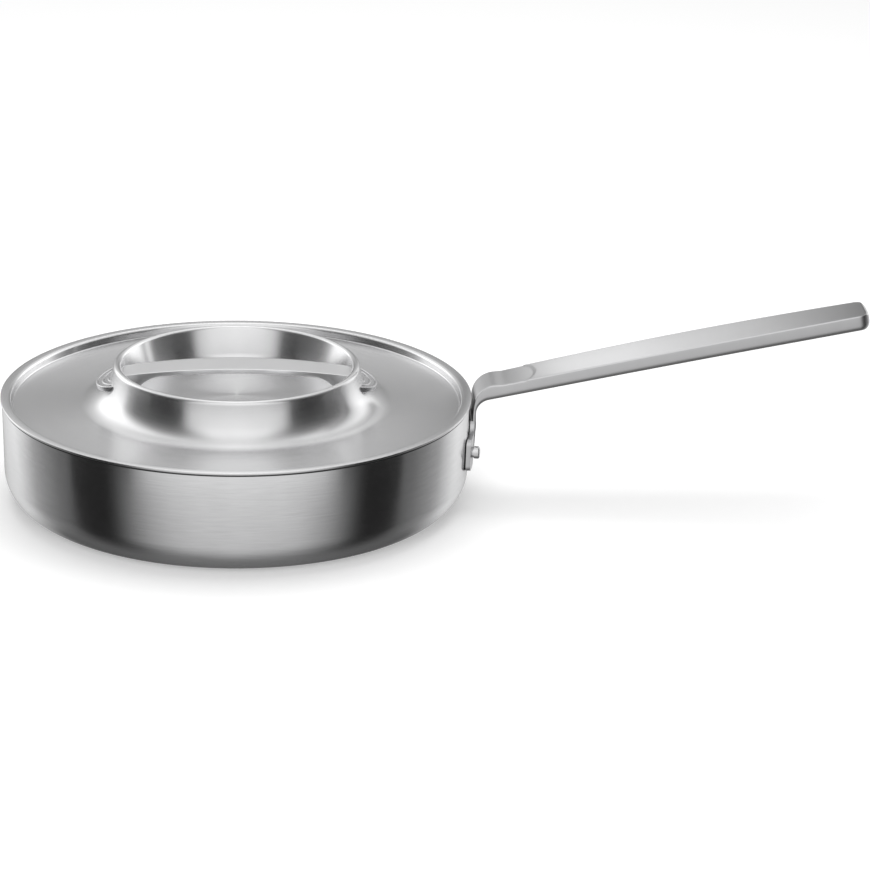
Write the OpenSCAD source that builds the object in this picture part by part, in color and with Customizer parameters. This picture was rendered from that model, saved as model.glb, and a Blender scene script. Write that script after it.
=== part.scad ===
// Saute pan with a crater lid and a long cast handle, all in satin stainless steel.
// The origin is the middle of the base on the worktop, +Z is up and the handle points along +X.

/* [Pan] */
// Inside diameter of the pan at its rim
pan_inside_d = 241; // [200:1:300]
// Height of the rim above the worktop
pan_h = 56; // [54:0.5:80]
// Outer radius of the rounded corner between base and wall
base_corner_r = 18.5; // [12:0.5:20]
// Outward lean of the wall, in degrees
wall_lean = 1.2; // [0:0.1:3]
// Thickness of each steel skin of the clad sheet
skin_t = 0.5; // [0.4:0.05:0.8]
// Thickness of the aluminium core of the clad sheet
core_t = 1.9; // [1.2:0.1:3]
// Easing of the two corners of the rim
rim_ease = 0.25; // [0.1:0.05:0.3]

/* [Lid] */
// How far the lid's flange reaches past the pan wall
lid_overhang = 0.7; // [0.3:0.1:3]
// Thickness of the lid sheet
lid_t = 1.2; // [0.8:0.1:1.4]
// Depth of the sunken field below the flange
field_depth = 4.2; // [3.6:0.1:7]
// Radius of the two bends between flange and field, at mid sheet
step_bend_r = 1.4; // [1:0.1:1.6]
// Lean of the wall between flange and field, in degrees
step_lean = 15; // [5:1:25]
// How far inside the pan wall the flange starts to turn down
step_inset = 0.3; // [0.2:0.1:2]

/* [Crater] */
// Diameter of the crater's rim, measured at the crest of the fold
crater_d = 125.5; // [110:0.5:150]
// Height of the fold's top above the sunken field
crater_h = 20.9; // [18:0.1:26]
// Outer radius of the folded rim
fold_r = 2.15; // [1.8:0.05:3]
// Depth of the bowl below the top of the fold
bowl_depth = 17.6; // [12:0.1:18]
// Radius of the corner between the bowl's floor and wall
bowl_corner_r = 8; // [5:0.5:10]
// Lean of the outer slope just under the fold, in degrees
slope_top_lean = 10; // [2:1:11]
// Lean of the outer slope where its foot fillet starts, in degrees
slope_foot_lean = 28; // [13:1:32]
// Radius of the fillet at the foot of the slope
slope_foot_r = 15.5; // [10:0.5:17]

/* [Lid grip] */
// Width of the bridge strap in the middle
strap_w = 20.2; // [16:0.2:26]
// Width that the strap loses towards each end
strap_waist = 3.2; // [0:0.2:5]
// Thickness of the strap in the middle
strap_t = 2.4; // [2:0.1:4]
// Height of the strap's top above the fold, negative when it is sunk
strap_rise = -0.45; // [-1:0.05:2]
// How much lower the strap's ends lie than its middle
strap_drop = 4.4; // [2:0.1:6]
// Radius of the haunch under each end of the strap
haunch_r = 17; // [10:0.5:18]
// Thickness of the foot of the haunch on the bowl's wall
haunch_foot_t = 5.6; // [4:0.1:8]
// Radius of the round end lug outside the crater
lug_r = 19.5; // [16:0.5:21]
// How far a lug stands out from the crest of the fold
lug_reach = 11.5; // [9:0.1:13]
// Thickness of a lug
lug_t = 3; // [2.4:0.1:3.4]
// Depth of the lug's middle below the top of the fold
lug_depth = 7.9; // [7:0.1:9]
// Downward tilt of the lugs, in degrees
lug_tilt = 16; // [12:1:24]
// Width of one ring of the lug's turned face
lug_ring_w = 1.6; // [1.2:0.1:2]
// Height of the rings on the lug's turned face
lug_ring_h = 0.5; // [0.2:0.1:0.8]
// Width of the tongue that carries a lug through the crater
tongue_w = 12; // [8:0.5:16]
// Thickness of that tongue
tongue_t = 1.8; // [1.2:0.1:2]
// Depth of the tongue's seat in the strap
tongue_seat = 2; // [1:0.1:3]
// Reach of the tongue into the lug, from the crest of the fold
tongue_bite = 4.8; // [4.2:0.1:6]

/* [Handle] */
// Upward slope of the grip, in degrees
grip_angle = 11.6; // [5:0.1:20]
// Length of the grip from the bend to its end
grip_l = 201.5; // [150:0.5:240]
// Greatest width of the grip
grip_w = 28.5; // [22:0.5:34]
// Width that the grip loses from its widest place to the bend
grip_waist = 4.6; // [1:0.1:6]
// Thickness of the grip at the bend
grip_t = 8.2; // [6:0.1:12]
// Thickness of the grip at its end
grip_end_t = 9.2; // [6:0.1:12]
// Rise of the grip's middle above a straight line
grip_bow = 1.1; // [0:0.1:3]
// Height of the crown across the grip's top
grip_crown = 0.3; // [0:0.05:1]
// Radius of the grip's lower long edges
grip_edge_r = 3.5; // [1:0.1:4]
// Radius of the crisp upper edges
grip_crease_r = 0.8; // [0.3:0.1:1.2]
// Radius of the grip's end corners
grip_end_r = 6; // [2:0.5:8]
// Size of the sloping edge above the grip's end
grip_end_chamfer = 1.4; // [0.5:0.1:3]
// Depth of the flat thumb place next to the bend
thumb_depth = 0.7; // [0.3:0.1:1.2]
// Length of the thumb place along the grip
thumb_l = 24; // [18:1:40]
// Length of the ramp out of the thumb place
thumb_ramp_l = 7; // [3:0.5:10]
// Outer radius of the bend, on the pan side
bend_outer_r = 12; // [8:0.5:14]
// Inner radius of the bend, under the grip
bend_inner_r = 8; // [5:0.5:10]
// Thickness of the neck
neck_t = 2.15; // [1.8:0.05:4]
// Gap between the neck and the pan wall
neck_gap = 0.7; // [0.5:0.1:3]
// Radius of the neck's slow lean away from the lid
neck_lean_r = 72; // [50:1:100]
// Lean of the neck where the bend starts, in degrees
neck_lean = 9.5; // [5:0.5:14]

/* [Handle foot] */
// Width of the foot plate on the pan wall
foot_w = 56; // [48:1:70]
// Height of the foot plate
foot_h = 17.4; // [14:0.2:24]
// Depth of the foot plate's lower edge below the pan's rim
foot_drop = 33.4; // [32:0.2:34]
// Thickness of the foot plate
foot_t = 2.8; // [2.4:0.1:4]
// Radius of the foot plate's corners and of its fillets into the neck
foot_corner_r = 3.5; // [2:0.5:6]
// Distance between the two rivets
rivet_pitch = 41; // [34:1:46]
// Diameter of a rivet's shank
rivet_d = 4.8; // [4:0.1:5]
// Diameter of a rivet's outer head
rivet_head_d = 6.6; // [6:0.1:8]
// Height of a rivet's outer head above the foot plate
rivet_head_h = 3.8; // [2:0.1:5]
// Diameter of a rivet's low head inside the pan
rivet_inner_d = 10; // [8:0.5:12]
// Height of that inner head
rivet_inner_h = 1.6; // [1:0.1:2]

/* [Hidden] */

// Clearances and overruns
rivet_play = 0.05;
tongue_play = 0.1;
seat_gap = 0.02;
overrun = 1;

// Round resolution: full turns, small arcs and the very large side arcs of the strap
$fn = 180;
arc_steps = 14;
big_arc_fn = 2880;

// Pan places
wall_t = 2*skin_t + core_t;
pan_inner_r = pan_inside_d/2;
pan_outer_r = pan_inner_r + wall_t/cos(wall_lean);
corner_centre_r = pan_outer_r - base_corner_r*cos(wall_lean)
    - (pan_h - base_corner_r*(1 - sin(wall_lean)))*tan(wall_lean);

// Lid places, with the sheet described by its middle surface
half_sheet = lid_t/2;
lid_r = pan_outer_r + lid_overhang;
flange_mid_z = pan_h + half_sheet;
field_mid_z = flange_mid_z - field_depth;
fold_top_z = field_mid_z + half_sheet + crater_h;
fold_mid_r = fold_r - half_sheet;
fold_centre = [crater_d/2, fold_top_z - fold_r];
bowl_r = fold_centre.x - fold_r;
bowl_floor_z = fold_top_z - bowl_depth;

// Strap places
strap_top_z = fold_top_z + strap_rise;
strap_half_l = bowl_r;
strap_arch_r = (strap_half_l^2 + strap_drop^2)/(2*strap_drop);
strap_side_r = (strap_half_l^2 + (strap_waist/2)^2)/strap_waist;
haunch_inner_x = strap_half_l - haunch_foot_t;
haunch_centre_x = haunch_inner_x - haunch_r;
haunch_centre_z = arch_z(haunch_centre_x, strap_t) - haunch_r;

// Lug places
lug_tip_x = fold_centre.x + lug_reach;
lug_centre_x = lug_tip_x - lug_r*cos(lug_tilt);
lug_mid_z = fold_top_z - lug_depth;
lug_centre_z = lug_mid_z + (lug_tip_x - lug_centre_x)/2*tan(lug_tilt);
tongue_tip_x = fold_centre.x + tongue_bite;
tongue_top_z = lug_centre_z - (tongue_tip_x - lug_centre_x)*tan(lug_tilt) - 2*lug_ring_h;

// Handle places, in the side view
foot_z = pan_h - foot_drop;
neck_x = pan_outer_r + neck_gap;
neck_z = foot_z + foot_h;
neck_lean_top = neck_x + neck_lean_r*(1 - cos(neck_lean));
bend_start_z = neck_z + foot_corner_r + neck_lean_r*sin(neck_lean);
bend_outer_centre = [neck_lean_top + bend_outer_r*cos(neck_lean),
                     bend_start_z - bend_outer_r*sin(neck_lean)];
grip_along = [cos(grip_angle), sin(grip_angle)];
grip_up = [-sin(grip_angle), cos(grip_angle)];
grip_root = bend_outer_centre + bend_outer_r*grip_up;
bend_inner_x = neck_x + neck_t + bend_inner_r;
bend_inner_centre = [bend_inner_x,
    ((grip_root - (grip_t + bend_inner_r)*grip_up)*grip_up + bend_inner_x*sin(grip_angle))
    /cos(grip_angle)];
bend_inner_end = bend_inner_centre + bend_inner_r*grip_up;
root_skew = (bend_inner_end - grip_root)*grip_along;
// The grip is widest at a share of its length from the bend
grip_belly_share = 0.52;
grip_belly = grip_l*grip_belly_share;
grip_side_r = (grip_belly^2 + (grip_waist/2)^2)/grip_waist;
root_w = grip_w - grip_waist;

// Steps along the handle and round its section
neck_steps = 5;
bend_steps = 14;
grip_steps = 26;
end_steps = 8;
crown_steps = 8;
edge_steps = 4;

// Rivet places
rivet_z = foot_z + foot_h/2;
foot_outer_r = wall_r(rivet_z) + foot_t;
rivet_turn = asin(rivet_pitch/2/foot_outer_r);
rivet_collar_h = rivet_head_h/4;
rivet_collar_r = (rivet_d + rivet_head_d)/4;
rivet_round_r = rivet_head_d/7;

// Points on an arc round centre c, from angle a0 to a1
function arc(c, r, a0, a1) =
    [for (i = [0:arc_steps]) let (a = a0 + (a1 - a0)*i/arc_steps) c + r*[cos(a), sin(a)]];

// Drops the first point of a list, so that two arcs can share their joint
function tail(list) = [for (i = [1:len(list) - 1]) list[i]];

function reversed(list) = [for (i = [len(list) - 1:-1:0]) list[i]];

// Outer radius of the pan wall at height z
function wall_r(z) = pan_outer_r - (pan_h - z)*tan(wall_lean);

// Height of the strap's arch at distance x from the middle, d below its top
function arch_z(x, d) = strap_top_z - strap_arch_r + sqrt((strap_arch_r - d)^2 - x^2);

// The pan's outer surface moved inwards by d, from the axis to the rim
function pan_path(d) = concat(
    [[0, d]],
    arc([corner_centre_r, base_corner_r], base_corner_r - d, -90, -wall_lean),
    [[wall_r(pan_h) - d/cos(wall_lean), pan_h]]);

// Easing moves a path's rim end down and puts one more point on the rim's flat top
function eased_rim(path, side) = let (n = len(path) - 1, end = path[n], e = rim_ease) concat(
    [for (i = [0:n - 1]) path[i]],
    [end - e*[tan(wall_lean), 1], end - [side*e, 0]]);

// Unit normal of a path at point i, pointing to the left of its run
function normal(path, i) =
    let (d = path[min(i + 1, len(path) - 1)] - path[max(i - 1, 0)]) [-d.y, d.x]/norm(d);

function moved_path(path, h) = [for (i = [0:len(path) - 1]) path[i] + h*normal(path, i)];

// Middle surface of the bowl: floor, corner, wall and the fold over its rim
bowl_mid_r = bowl_r + half_sheet;
bowl_corner_mid_r = bowl_corner_r + half_sheet;
bowl_floor_mid_z = bowl_floor_z - half_sheet;
bowl_path = concat(
    [[0, bowl_floor_mid_z]],
    arc([bowl_mid_r - bowl_corner_mid_r, bowl_floor_mid_z + bowl_corner_mid_r],
        bowl_corner_mid_r, -90, 0),
    arc(fold_centre, fold_mid_r, 180, slope_top_lean));

// Middle surface of the outer slope: a wide hollow arc and a foot fillet, both bent outwards
slope_top = fold_centre + fold_mid_r*[cos(slope_top_lean), sin(slope_top_lean)];
slope_foot_mid_r = slope_foot_r + half_sheet;
slope_r = (slope_top.y - field_mid_z - slope_foot_mid_r*(1 - sin(slope_foot_lean)))
    /(sin(slope_foot_lean) - sin(slope_top_lean));
slope_centre = slope_top + slope_r*[cos(slope_top_lean), sin(slope_top_lean)];
slope_foot = slope_centre - slope_r*[cos(slope_foot_lean), sin(slope_foot_lean)];
slope_foot_centre = slope_foot + slope_foot_mid_r*[cos(slope_foot_lean), sin(slope_foot_lean)];
slope_path = concat(
    tail(arc(slope_centre, slope_r, 180 + slope_top_lean, 180 + slope_foot_lean)),
    tail(arc(slope_foot_centre, slope_foot_mid_r, 180 + slope_foot_lean, 270)));

// Middle surface of the step from the sunken field up to the flange
flange_start_r = pan_inner_r - step_inset;
step_rise = field_depth - 2*step_bend_r*(1 - sin(step_lean));
step_foot_r = flange_start_r - 2*step_bend_r*cos(step_lean) - step_rise*tan(step_lean);
flange_path = concat(
    arc([step_foot_r, field_mid_z + step_bend_r], step_bend_r, -90, -step_lean),
    arc([flange_start_r, flange_mid_z - step_bend_r], step_bend_r, 180 - step_lean, 90),
    [[lid_r - half_sheet, flange_mid_z]]);

lid_path = concat(bowl_path, slope_path, flange_path);

// A layer of the clad sheet, between depths d0 and d1 below the pan's outer surface
module clad_layer(outer_path, inner_path) {
    rotate_extrude() polygon(concat(outer_path, reversed(inner_path)));
}

// A radial drilling or pin through the handle's foot; side is -1 for the front rivet, 1 for the rear
module at_rivet(side) {
    translate([0, 0, rivet_z]) rotate([0, 0, side*rivet_turn]) rotate([0, 90, 0]) children();
}

module rivet_holes() {
    for (side = [-1, 1])
        at_rivet(side)
            translate([0, 0, pan_inner_r - base_corner_r])
            cylinder(d = rivet_d + 2*rivet_play, h = base_corner_r + wall_t + foot_t + rivet_head_h,
                     $fn = 48);
}

module pan_outer_skin() {
    color("#a9abad") difference() {
        clad_layer(eased_rim(pan_path(0), 1), pan_path(skin_t));
        rivet_holes();
    }
}

module pan_core() {
    color("#c9cbcd") difference() {
        clad_layer(pan_path(skin_t), pan_path(skin_t + core_t));
        rivet_holes();
    }
}

module pan_inner_skin() {
    color("#b4b6b8") difference() {
        clad_layer(pan_path(skin_t + core_t), eased_rim(pan_path(wall_t), -1));
        rivet_holes();
    }
}

// A value that runs from 0 at a to 1 at b and stays there on either side
function ramp(x, a, b) = max(0, min(1, (x - a)/(b - a)));

// One station of the handle: points in the side view on its top and underside, half width, and
// how much of the thumb place's depth and of the crown it has
function station(top, under, half_w, thumb, crown) = [top, under, half_w, thumb, crown];

// The pan-side face leans back on its way up the neck, and the outer face stands upright
function neck_station(i) =
    let (a = 180 - neck_lean*i/neck_steps, z0 = neck_z + foot_corner_r)
    station([neck_x + neck_lean_r, z0] + neck_lean_r*[cos(a), sin(a)],
            [neck_x + neck_t, z0 + (bend_inner_centre.y - z0)*i/neck_steps], root_w/2, 0, 0);

function bend_station(i) =
    let (f = i/bend_steps,
         a = 180 - neck_lean - (90 - neck_lean - grip_angle)*f,
         b = 180 - (90 - grip_angle)*f)
    station(bend_outer_centre + bend_outer_r*[cos(a), sin(a)],
            bend_inner_centre + bend_inner_r*[cos(b), sin(b)], root_w/2, 0, 0);

// A station of the grip at distance x from its root; drop, rise and trim shape the grip's end
function grip_station(x, drop = 0, rise = 0, trim = 0) =
    let (t = grip_t + (grip_end_t - grip_t)*x/grip_l,
         skew = root_skew*(1 - ramp(x, 0, thumb_l)),
         bow = grip_bow*sin(180*x/grip_l))
    station(grip_root + x*grip_along + (bow - drop)*grip_up,
            grip_root + (x + skew)*grip_along + (bow + rise - t)*grip_up,
            grip_w/2 - (x - grip_belly)^2/(2*grip_side_r) - trim,
            ramp(x, 0, thumb_ramp_l) - ramp(x, thumb_l - thumb_ramp_l, thumb_l),
            ramp(x, 0, thumb_ramp_l));

function end_station(i) =
    let (a = 90*i/end_steps,
         x = grip_l - grip_end_r*(1 - sin(a)),
         over = max(0, x - grip_l + grip_edge_r))
    grip_station(x, max(0, x - grip_l + grip_end_chamfer),
                 grip_edge_r - sqrt(grip_edge_r^2 - over^2), grip_end_r*(1 - cos(a)));

function handle_stations() = concat(
    [station([neck_x, foot_z + foot_corner_r], [neck_x + neck_t/2, foot_z + foot_corner_r], root_w/2, 0, 0)],
    [for (i = [0:neck_steps]) neck_station(i)],
    [for (i = [1:bend_steps]) bend_station(i)],
    [for (i = [1:grip_steps]) grip_station((grip_l - grip_end_r)*i/grip_steps)],
    [for (i = [1:end_steps]) end_station(i)]);

// A quarter round of a section, from angle a0 on, as [side place, depth] pairs
function edge_round(y, d, r, a0) =
    [for (i = [0:edge_steps]) let (a = a0 - 90*i/edge_steps) [y + r*cos(a), d - r*sin(a)]];

// The ring of points of a station: crowned top, crisp upper edges and round lower edges
function ring(st) =
    let (t = norm(st[1] - st[0]), down = (st[1] - st[0])/t, w = st[2],
         crease_r = min(grip_crease_r, t/4), low_r = min(grip_edge_r, t/2),
         flat_w = w - crease_r,
         depth = [for (i = [0:crown_steps]) let (y = 2*i/crown_steps - 1)
             max(thumb_depth*st[3], grip_crown*st[4]*y^2)],
         top = [for (i = [0:crown_steps]) [flat_w*(2*i/crown_steps - 1), depth[i]]],
         section = concat(
             top,
             tail(edge_round(flat_w, depth[crown_steps] + crease_r, crease_r, 90)),
             edge_round(w - low_r, t - low_r, low_r, 0),
             edge_round(low_r - w, t - low_r, low_r, -90),
             [for (p = reversed(tail(edge_round(flat_w, depth[0] + crease_r, crease_r, 90)))) [-p.x, p.y]]))
    [for (p = section) let (q = st[0] + p.y*down) [q.x, p.x, q.y]];

// Skin over the rings of all stations, closed by a flat face at each end
module neck_and_grip() {
    rings = [for (st = handle_stations()) ring(st)];
    n = len(rings[0]);
    m = len(rings);
    sides = [for (i = [0:m - 2], j = [0:n - 1]) let (k = (j + 1)%n)
        each [[i*n + j, i*n + k, (i + 1)*n + j], [i*n + k, (i + 1)*n + k, (i + 1)*n + j]]];
    polyhedron([for (r = rings) each r],
               concat(sides, [[for (j = [n - 1:-1:0]) j]], [[for (j = [0:n - 1]) (m - 1)*n + j]]));
}

// Front view of the foot: a wide plate with round corners and fillets up into the neck
module foot_outline() {
    c = foot_corner_r;
    translate([-foot_w/2 + c, 0]) square([foot_w - 2*c, foot_h]);
    translate([-foot_w/2, c]) square([foot_w, foot_h - 2*c]);
    for (side = [-1, 1], z = [c, foot_h - c])
        translate([side*(foot_w/2 - c), z]) circle(r = c, $fn = 48);
    difference() {
        translate([-root_w/2 - c, 0]) square([2*(root_w/2 + c), foot_h + c]);
        for (side = [-1, 1])
            translate([side*(root_w/2 + c), foot_h + c]) circle(r = c, $fn = 48);
    }
}

module foot_plate() {
    intersection() {
        rotate_extrude() polygon([
            [wall_r(foot_z), foot_z],
            [wall_r(foot_z) + foot_t, foot_z],
            [wall_r(neck_z) + foot_t, neck_z + foot_corner_r],
            [wall_r(neck_z + foot_corner_r), neck_z + foot_corner_r]]);
        translate([pan_outer_r/2, 0, foot_z])
            rotate([90, 0, 90]) linear_extrude(pan_outer_r) foot_outline();
    }
}

module handle() {
    color("#b8babb") difference() {
        union() {
            neck_and_grip();
            foot_plate();
        }
        rivet_holes();
    }
}

// Half section of a rivet along its axis: low domed inner head, shank, collar and button head
module rivet_section() {
    shank_r = rivet_d/2;
    head_r = rivet_head_d/2;
    inner_r = rivet_inner_d/2;
    inner_wall_r = wall_r(rivet_z) - wall_t/cos(wall_lean);
    seat_in = sqrt(inner_wall_r^2 - inner_r^2) - inner_r*tan(wall_lean) - seat_gap;
    seat_out = foot_outer_r + head_r*tan(wall_lean) + seat_gap;
    top = seat_out + rivet_head_h;
    dome_r = (inner_r^2 + rivet_inner_h^2)/(2*rivet_inner_h);
    dome_centre = [0, seat_in - rivet_inner_h + dome_r];
    polygon(concat(
        arc(dome_centre, dome_r, -90, asin(inner_r/dome_r) - 90),
        [[shank_r, seat_in], [shank_r, seat_out]],
        [[rivet_collar_r, seat_out], [rivet_collar_r, seat_out + rivet_collar_h]],
        [[head_r, seat_out + rivet_collar_h]],
        arc([head_r - rivet_round_r, top - rivet_round_r], rivet_round_r, 0, 90),
        [[0, top]]));
}

module rivet(side) { at_rivet(side) rotate_extrude($fn = 48) rivet_section(); }

module rivet_front() { color("#9fa1a3") rivet(-1); }

module rivet_rear() { color("#9fa1a3") rivet(1); }

// Section of the lid sheet with a round outer edge
module lid_section() {
    edge = lid_path[len(lid_path) - 1];
    polygon(concat(
        moved_path(lid_path, half_sheet),
        tail(arc(edge, half_sheet, 90, -90)),
        tail(reversed(moved_path(lid_path, -half_sheet)))));
}

// Slot through both crater walls, and pocket in the strap, for one lug's tongue
module tongue(side, play) {
    inner_x = strap_half_l - tongue_seat - play;
    translate([side > 0 ? inner_x : -tongue_tip_x, -tongue_w/2 - play, tongue_top_z - tongue_t - play])
        cube([tongue_tip_x - inner_x, tongue_w + 2*play, tongue_t + 2*play]);
}

module lid_shell() {
    color("#b0b2b4") difference() {
        rotate_extrude() lid_section();
        for (side = [-1, 1]) tongue(side, tongue_play);
    }
}

// Space inside the bowl, up to above the strap
module bowl_space() {
    floor_r = bowl_r - bowl_corner_r;
    rotate_extrude() polygon(concat(
        [[0, strap_top_z + overrun], [0, bowl_floor_z]],
        arc([floor_r, bowl_floor_z + bowl_corner_r], bowl_corner_r, -90, 0),
        [[bowl_r, strap_top_z + overrun]]));
}

// Side outline of the strap: arched top, thin middle and a haunch at each end
module strap_outline() {
    mid = haunch_centre_x;
    n = 2*arc_steps;
    top = [for (i = [0:n]) let (x = strap_half_l*(1 - 2*i/n)) [x, arch_z(x, 0)]];
    under = [for (i = [0:n]) let (x = mid*(2*i/n - 1)) [x, arch_z(x, strap_t)]];
    left = reversed(arc([-haunch_centre_x, haunch_centre_z], haunch_r, 90, 180));
    right = reversed(arc([haunch_centre_x, haunch_centre_z], haunch_r, 0, 90));
    polygon(concat(
        top,
        [[-strap_half_l, haunch_centre_z], [-haunch_inner_x, haunch_centre_z]],
        tail(left),
        tail(under),
        tail(right),
        [[strap_half_l, haunch_centre_z]]));
}

module lid_strap() {
    color("#bcbec0") difference() {
        intersection() {
            translate([0, strap_w/2, 0]) rotate([90, 0, 0]) linear_extrude(strap_w) strap_outline();
            intersection_for (side = [-1, 1])
                translate([0, side*(strap_side_r - strap_w/2), 0])
                    cylinder(r = strap_side_r, h = 2*strap_top_z, $fn = big_arc_fn);
            bowl_space();
        }
        for (side = [-1, 1]) tongue(side, tongue_play);
    }
}

// Everything inside the crater's outer surface, which trims the lug's plate
module crater_body() {
    outer = concat(arc(fold_centre, fold_r, 90, slope_top_lean),
                   tail(moved_path(slope_path, half_sheet)));
    above = fold_top_z + lug_r;
    rotate_extrude() polygon(concat([[0, field_mid_z], [0, above], [fold_centre.x, above]], outer));
}

// Turned face of a lug: three raised rings round a low middle
module lug_plate() {
    rotate_extrude($fn = 120) {
        square([lug_r, lug_t - lug_ring_h]);
        for (i = [0:2])
            translate([lug_r - (2*i + 1)*lug_ring_w, 0])
                square([lug_ring_w, lug_t]);
    }
}

module lug(side) {
    tongue(side, 0);
    difference() {
        translate([side*lug_centre_x, 0, lug_centre_z])
            rotate([0, side*lug_tilt, 0])
            translate([0, 0, -lug_t]) lug_plate();
        crater_body();
    }
}

module lug_left() { color("#a2a4a6") lug(-1); }

module lug_right() { color("#a2a4a6") lug(1); }

pan_outer_skin();
pan_core();
pan_inner_skin();
handle();
rivet_front();
rivet_rear();
lid_shell();
lid_strap();
lug_left();
lug_right();
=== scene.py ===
# %% [markdown]
# # A saute pan with a crater lid, dressed for the studio
# The solids of this pan are already made and packed as a fixed frame: each one has its name, its
# place and the body that it moves with. This lesson keeps every one of those sizes. It models each
# piece again with the small round edges and the turned details that catch the light, gives it a
# brushed or satin steel finish, and then lights the pan and sets up the camera of the photograph.
#
# First the frame is loaded.

# %% Load the frame
import math

import bmesh
import bpy
from mathutils import Matrix, Vector


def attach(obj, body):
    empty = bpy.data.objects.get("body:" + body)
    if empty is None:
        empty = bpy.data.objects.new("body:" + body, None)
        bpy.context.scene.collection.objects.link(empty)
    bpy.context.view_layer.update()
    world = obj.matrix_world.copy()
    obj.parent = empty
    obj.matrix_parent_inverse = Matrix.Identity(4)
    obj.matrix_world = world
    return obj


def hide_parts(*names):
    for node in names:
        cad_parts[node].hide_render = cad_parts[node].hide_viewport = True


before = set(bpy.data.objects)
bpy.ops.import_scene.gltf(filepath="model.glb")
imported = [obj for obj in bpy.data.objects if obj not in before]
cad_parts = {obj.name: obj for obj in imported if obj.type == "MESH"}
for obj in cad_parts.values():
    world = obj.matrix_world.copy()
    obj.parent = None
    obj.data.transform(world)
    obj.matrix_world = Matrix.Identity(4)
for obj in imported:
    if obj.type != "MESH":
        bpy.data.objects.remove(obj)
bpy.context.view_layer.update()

# %% [markdown]
# # The camera of the photograph
# The picture was taken with a long lens from about two metres away, a little above the pan and
# turned slightly towards the handle. These angles come from the ellipses of the pan's rim, of the
# lid and of the crater. The focal length is known in pixels of a square picture, so it is turned
# into millimetres of lens for a sensor of the usual width. The camera's three directions are worked
# out from the angles and put into one matrix, which is easier to check than three turns in a row.

# %% Set up the camera
MM = 0.001
PICTURE_PIXELS = 870
FOCAL_PIXELS = 3769.4
SENSOR_WIDTH = 36    # millimetres
CAMERA_DISTANCE = 2000 * MM
AIM_HEIGHT = 34.58 * MM
FARTHEST_SEEN = 60   # metres, well past the far side of the floor
look_down = math.radians(19.573)
look_right = math.radians(3.196)
tilt = math.radians(1.136)

forward = Vector((math.sin(look_right) * math.cos(look_down),
                  math.cos(look_right) * math.cos(look_down), -math.sin(look_down)))
level_right = Vector((math.cos(look_right), -math.sin(look_right), 0))
level_up = level_right.cross(forward)
right = level_right * math.cos(tilt) + level_up * math.sin(tilt)
up = level_up * math.cos(tilt) - level_right * math.sin(tilt)

camera_data = bpy.data.cameras.new("photo_camera")
camera_data.sensor_width = SENSOR_WIDTH
camera_data.lens = SENSOR_WIDTH * FOCAL_PIXELS / PICTURE_PIXELS
camera_data.clip_end = FARTHEST_SEEN
camera = bpy.data.objects.new("photo_camera", camera_data)
camera_turn = Matrix((right, up, -forward)).transposed().to_4x4()
camera.matrix_world = Matrix.Translation(
    (0, -CAMERA_DISTANCE * math.cos(look_down),
     AIM_HEIGHT + CAMERA_DISTANCE * math.sin(look_down))) @ camera_turn
bpy.context.scene.collection.objects.link(camera)
bpy.context.scene.camera = camera
bpy.context.scene.view_settings.view_transform = "Standard"
print("lens in mm:", round(camera_data.lens, 1))

# %% [markdown]
# # Helpers for profiles and pieces
# Almost every piece of this pan is turned on a lathe or pressed in a round die, so it starts as a
# profile: a short line of points, each with its distance from the axis and its height. Arcs make
# the round corners of such a line. `turn_profile` spins it once round, merges the seam and the
# pole, and lets Blender turn all faces outwards.
#
# `worn_edge` is a number on every vertex that is high where faces meet at an angle. The finishes
# use it to polish the edges a little, as handling does.

# %% Make the helpers
SPIN_STEPS = 256
MERGE_DISTANCE = 0.002 * MM
SMOOTH_ANGLE = 35   # degrees: where faces meet at more than this, the shading has a sharp edge
WORN_ANGLE = 0.4    # radians: where faces meet at this or more, the edge is worn most


def arc(centre, radius, first, last, steps):
    """Points on a round corner, from angle first to angle last in degrees."""
    angles = [math.radians(first + (last - first) * i / steps) for i in range(steps + 1)]
    return [(centre[0] + radius * math.cos(a), centre[1] + radius * math.sin(a)) for a in angles]


def turn_profile(profile, closed=True, steps=SPIN_STEPS):
    """Spins a line of (distance from the axis, height) points once round the upright axis."""
    bm = bmesh.new()
    points = [bm.verts.new((reach, 0, height)) for reach, height in profile]
    ends = points[1:] + points[:1] if closed else points[1:]
    lines = [bm.edges.new(pair) for pair in zip(points, ends)]
    bmesh.ops.spin(bm, geom=points + lines, cent=(0, 0, 0), axis=(0, 0, 1), dvec=(0, 0, 0),
                   angle=2 * math.pi, steps=steps, use_merge=True)
    bmesh.ops.remove_doubles(bm, verts=bm.verts, dist=MERGE_DISTANCE)
    bmesh.ops.recalc_face_normals(bm, faces=bm.faces)
    return bm


def sharp_lines(bm, angle):
    """The edges where two faces meet at more than angle degrees."""
    return [e for e in bm.edges if len(e.link_faces) == 2
            and e.calc_face_angle() > math.radians(angle)]


def round_off(bm, edges, width):
    """Rounds the given edges with a small bevel."""
    bmesh.ops.bevel(bm, geom=edges, offset=width, offset_type="OFFSET", segments=3,
                    profile=0.5, affect="EDGES", clamp_overlap=True, material=-1)


def make_object(bm, name):
    """Turns a bmesh into an object of the scene."""
    mesh = bpy.data.meshes.new(name)
    bm.to_mesh(mesh)
    bm.free()
    made = bpy.data.objects.new(name, mesh)
    bpy.context.scene.collection.objects.link(made)
    return made


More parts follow.
